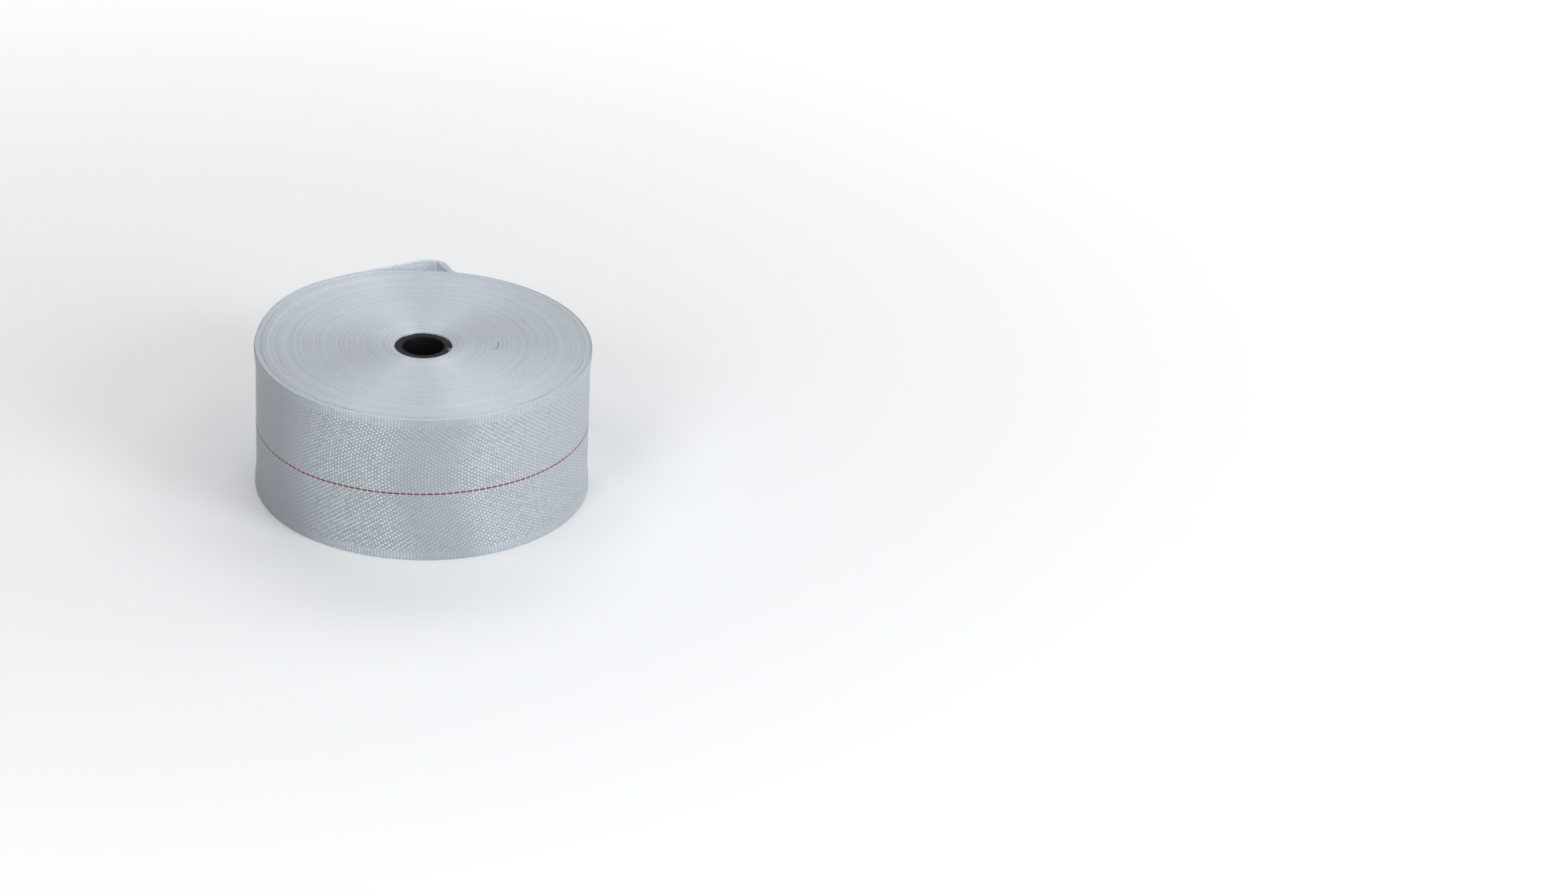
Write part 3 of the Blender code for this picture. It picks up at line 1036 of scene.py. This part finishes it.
def buildTracer():
    setting = tracer
    height = tape["tracerHeight"]
    row = math.floor((height - tape["lowerSelvedge"]) / tape["warpPitch"])
    path = Path(looseRun(height))

    def overUnder(pick):
        wave = math.sin(math.pi * (pick - weftLean(height) + row)) + setting["showing"]
        if wave > 0:
            return setting["lift"] * min(wave, 1.0)
        return setting["dip"] * setting["dipSteepness"] * wave

    def wander(pick):
        level = height + warpDrift(pick)
        return level + setting["wander"] * noise.noise(Vector((pick * 0.45, 11.0, 2.0)))

    lengths = (
        ("tracerLoose", -loosePicks + setting["cutBack"], setting["joinPick"]),
        ("tracerRound", setting["joinPick"], setting["lastPick"]),
    )
    for name, first, last in lengths:
        picks = picksFrom(first, last, setting["perPick"])
        points = []
        outs = []
        for pick in picks:
            level = wander(pick)
            if pick < 0:
                length = path.total * -pick / loosePicks
                out = path.out(length)
                point = path.point(length) + out * (tape["thickness"] / 2 + overUnder(pick))
                points.append(Vector((point.x, point.y, level)))
            else:
                turn = lift - pick * pickAngle
                out = around(turn, 1.0, 0.0) - around(turn, 0.0, 0.0)
                points.append(around(turn, sideRadius(pick, height) + overUnder(pick), level))
            outs.append(out)
        bm = yarnAlong(points, outs, setting["halfWidth"], setting["halfThick"], setting["sides"], picks)
        piece = newPiece(name, bm, redYarn)
        print("%s: %d faces" % (name, len(piece.data.polygons)))


buildTracer()

# Stray fibres: cut glass at the core's chip and at the folded end, and one dark hair that lies
# along a turn on the top face
strays = {
    "hairRadius": 0.0484,
    "hairDegrees": (87.0, 100.0),
    "hairHalf": 0.00019,
    "hairSteps": 24,
    "hairSway": 0.0004,
    "hairDrift": 0.0006,
    "hairLift": 0.00004,
    "hairTip": 0.12,  # the share of the hair that rises off the turns
    "hairRise": 0.0006,
    "seed": 4,
    "chipFibres": 6,
    "chipSteps": 8,
    "chipRadius": 0.0191,
    "chipSpread": 5.0,
    "chipSunk": (0.0002, 0.0008),
    "chipLean": 0.0022,
    "chipReach": (0.0016, 0.0034),
    "chipRise": 0.0009,
    "endFibres": 26,
    "endSteps": 6,
    "endHeights": (0.004, 0.096),
    "endInset": 0.0006,
    "endReach": (0.0012, 0.0032),
    "endDroop": 0.0008,
    "endSpread": 0.0003,
    "half": 0.00007,
    "sides": 5,
}


def fibre(points, half):
    outs = [Vector((0.0, 0.0, 1.0))] * len(points)
    return yarnAlong(points, outs, half, half, strays["sides"])


def joined(parts):
    whole = bmesh.new()
    for part in parts:
        mesh = bpy.data.meshes.new("part")
        part.to_mesh(mesh)
        part.free()
        whole.from_mesh(mesh)
        bpy.data.meshes.remove(mesh)
    return whole


def darkHair():
    setting = strays
    first, last = setting["hairDegrees"]
    points = []
    for step in range(setting["hairSteps"] + 1):
        share = step / setting["hairSteps"]
        turn = math.radians(first + (last - first) * share)
        sway = setting["hairSway"] * math.sin(share * 5.0)
        radius = setting["hairRadius"] + sway - setting["hairDrift"] * share
        lifted = setting["hairLift"] + setting["hairRise"] * max(setting["hairTip"] - share, 0.0)
        points.append(around(turn, radius, tape["width"] - facesDrop(radius) + lifted))
    return fibre(points, setting["hairHalf"])


def chipFibre(luck):
    setting = strays
    spread = setting["chipSpread"]
    turn = math.radians(core["chipDegrees"] + luck.uniform(-spread, spread))
    start = around(turn, setting["chipRadius"], coreHigh.z - luck.uniform(*setting["chipSunk"]))
    lean = luck.uniform(-setting["chipLean"], setting["chipLean"])
    reach = luck.uniform(*setting["chipReach"])
    points = []
    for step in range(setting["chipSteps"] + 1):
        share = step / setting["chipSteps"]
        side = around(turn + math.pi / 2, lean * share**1.5, 0.0) - rollAxis
        inward = around(turn, reach * share, 0.0) - rollAxis
        rise = setting["chipRise"] * math.sin(math.pi * share)
        points.append(start - Vector((inward.x, inward.y, 0.0)) + Vector((side.x, side.y, rise)))
    return fibre(points, setting["half"])


def endFibre(luck):
    setting = strays
    path = Path(looseRun(luck.uniform(*setting["endHeights"])))
    out = path.out(path.total)
    onward = path.point(path.total) - path.point(path.total - 0.001)
    start = path.point(path.total - setting["endInset"])
    reach = luck.uniform(*setting["endReach"])
    droop = luck.uniform(-setting["endDroop"], setting["endDroop"])
    points = []
    for step in range(setting["endSteps"] + 1):
        share = step / setting["endSteps"]
        away = onward.normalized() * reach * share
        away += out * luck.uniform(-0.2, 0.5) * setting["endSpread"] * share
        points.append(start + away + Vector((0.0, 0.0, droop * share)))
    return fibre(points, setting["half"])


def buildStrays():
    luck = random.Random(strays["seed"])
    newPiece("darkHair", darkHair(), darkFibre)
    chips = [chipFibre(luck) for number in range(strays["chipFibres"])]
    newPiece("chipFibres", joined(chips), glassFibre)
    ends = [endFibre(luck) for number in range(strays["endFibres"])]
    newPiece("endFibres", joined(ends), glassFibre)
    print("stray fibres laid")


buildStrays()

# Floor, light and camera
room = {
    "floorRadius": 20.0,
    "floorSegments": 96,
    "floorColour": (0.95, 0.95, 0.95, 1.0),
    # the floor glows more with the distance, so that low views stay pale
    "glow": (0.80, 0.81, 0.82, 1.0),
    "glowFrom": 0.12,
    "glowTo": 2.2,
    "background": (0.97, 0.985, 1.0, 1.0),
    "backgroundStrength": 0.20,
    "backgroundShown": 1.02,  # to the camera alone
    "lightDistance": 2.2,
    "lights": (
        # name, degrees round from the front to the right, degrees up, size, power
        ("left", -68.0, 62.0, (0.9, 0.9), 6.5),
        ("frontLeft", -28.0, 32.0, (0.7, 0.7), 11.0),
        ("frontRight", 24.0, 38.0, (0.8, 0.8), 5.0),
        ("right", 50.0, 24.0, (0.8, 0.8), 18.5),
        ("sideRight", 92.0, 50.0, (1.0, 0.9), 4.5),
        ("backRight", 135.0, 38.0, (1.0, 1.0), 5.0),
        ("back", 180.0, 50.0, (1.4, 1.0), 11.5),
    ),
    "lightColour": (0.96, 0.98, 1.0),
}


class Backdrop(Paint):  # the world's nodes, written like a material's
    def __init__(self, world):
        world.use_nodes = True
        self.tree = world.node_tree
        self.shader = self.tree.nodes["Background"]


def buildRoom():
    bm = bmesh.new()
    bmesh.ops.create_circle(bm, cap_ends=True, segments=room["floorSegments"], radius=room["floorRadius"])
    mesh = bpy.data.meshes.new("floor")
    bm.to_mesh(mesh)
    bm.free()
    floor = bpy.data.objects.new("floor", mesh)
    bpy.context.scene.collection.objects.link(floor)
    settings = {"Roughness": 0.9, "Base Color": room["floorColour"], "Emission Strength": 1.0}
    paint = Paint("floorPaint", settings)
    where = {0: paint.place("Object")}
    fromMiddle = paint.node("ShaderNodeVectorMath", {"operation": "LENGTH"}, where, "Value")
    far = fromMiddle.rise(room["glowFrom"], room["glowTo"])
    paint.feed("Emission Color", paint.mix(far, unlit, room["glow"]))
    mesh.materials.append(paint.material)
    world = bpy.data.worlds.new("room")
    bpy.context.scene.world = world
    backdrop = Backdrop(world)
    seen = backdrop.node("ShaderNodeLightPath", {}, {}, "Is Camera Ray")
    strength = room["backgroundStrength"]
    backdrop.feed("Color", room["background"])
    backdrop.feed("Strength", seen * (room["backgroundShown"] - strength) + strength)
    aim = Vector((rollAxis.x, rollAxis.y, tape["width"] / 2))
    for name, degrees, up, size, power in room["lights"]:
        light = bpy.data.lights.new(name, "AREA")
        light.shape = "RECTANGLE"
        light.size, light.size_y = size
        light.energy = power
        light.color = room["lightColour"]
        lamp = bpy.data.objects.new(name, light)
        bpy.context.scene.collection.objects.link(lamp)
        level = math.cos(math.radians(up))
        away = Vector((
            level * math.sin(math.radians(degrees)),
            -level * math.cos(math.radians(degrees)),
            math.sin(math.radians(up)),
        ))
        lamp.location = aim + away * room["lightDistance"]
        lamp.rotation_mode = "QUATERNION"
        lamp.rotation_quaternion = (-away).to_track_quat("-Z", "Y")
    bpy.context.scene.view_settings.view_transform = "Standard"


camera = {
    "elevation": 27.34,
    "distance": 2.774,
    "lens": 97.47,
    "shift": (0.2305, -0.0232),
    "roll": 0.68,
}


def buildCamera():
    rise = math.radians(camera["elevation"])
    back = Vector((0.0, -math.cos(rise), math.sin(rise)))
    aim = Vector((rollAxis.x, rollAxis.y, tape["width"] / 2))
    data = bpy.data.cameras.new("camera")
    data.lens = camera["lens"]
    data.shift_x, data.shift_y = camera["shift"]
    data.clip_start = 0.05
    data.clip_end = 60.0
    eye = bpy.data.objects.new("camera", data)
    bpy.context.scene.collection.objects.link(eye)
    eye.location = aim + back * camera["distance"]
    eye.rotation_mode = "QUATERNION"
    straight = (-back).to_track_quat("-Z", "Y")
    eye.rotation_quaternion = straight @ Quaternion((0.0, 0.0, 1.0), math.radians(camera["roll"]))
    bpy.context.scene.camera = eye


buildRoom()
buildCamera()
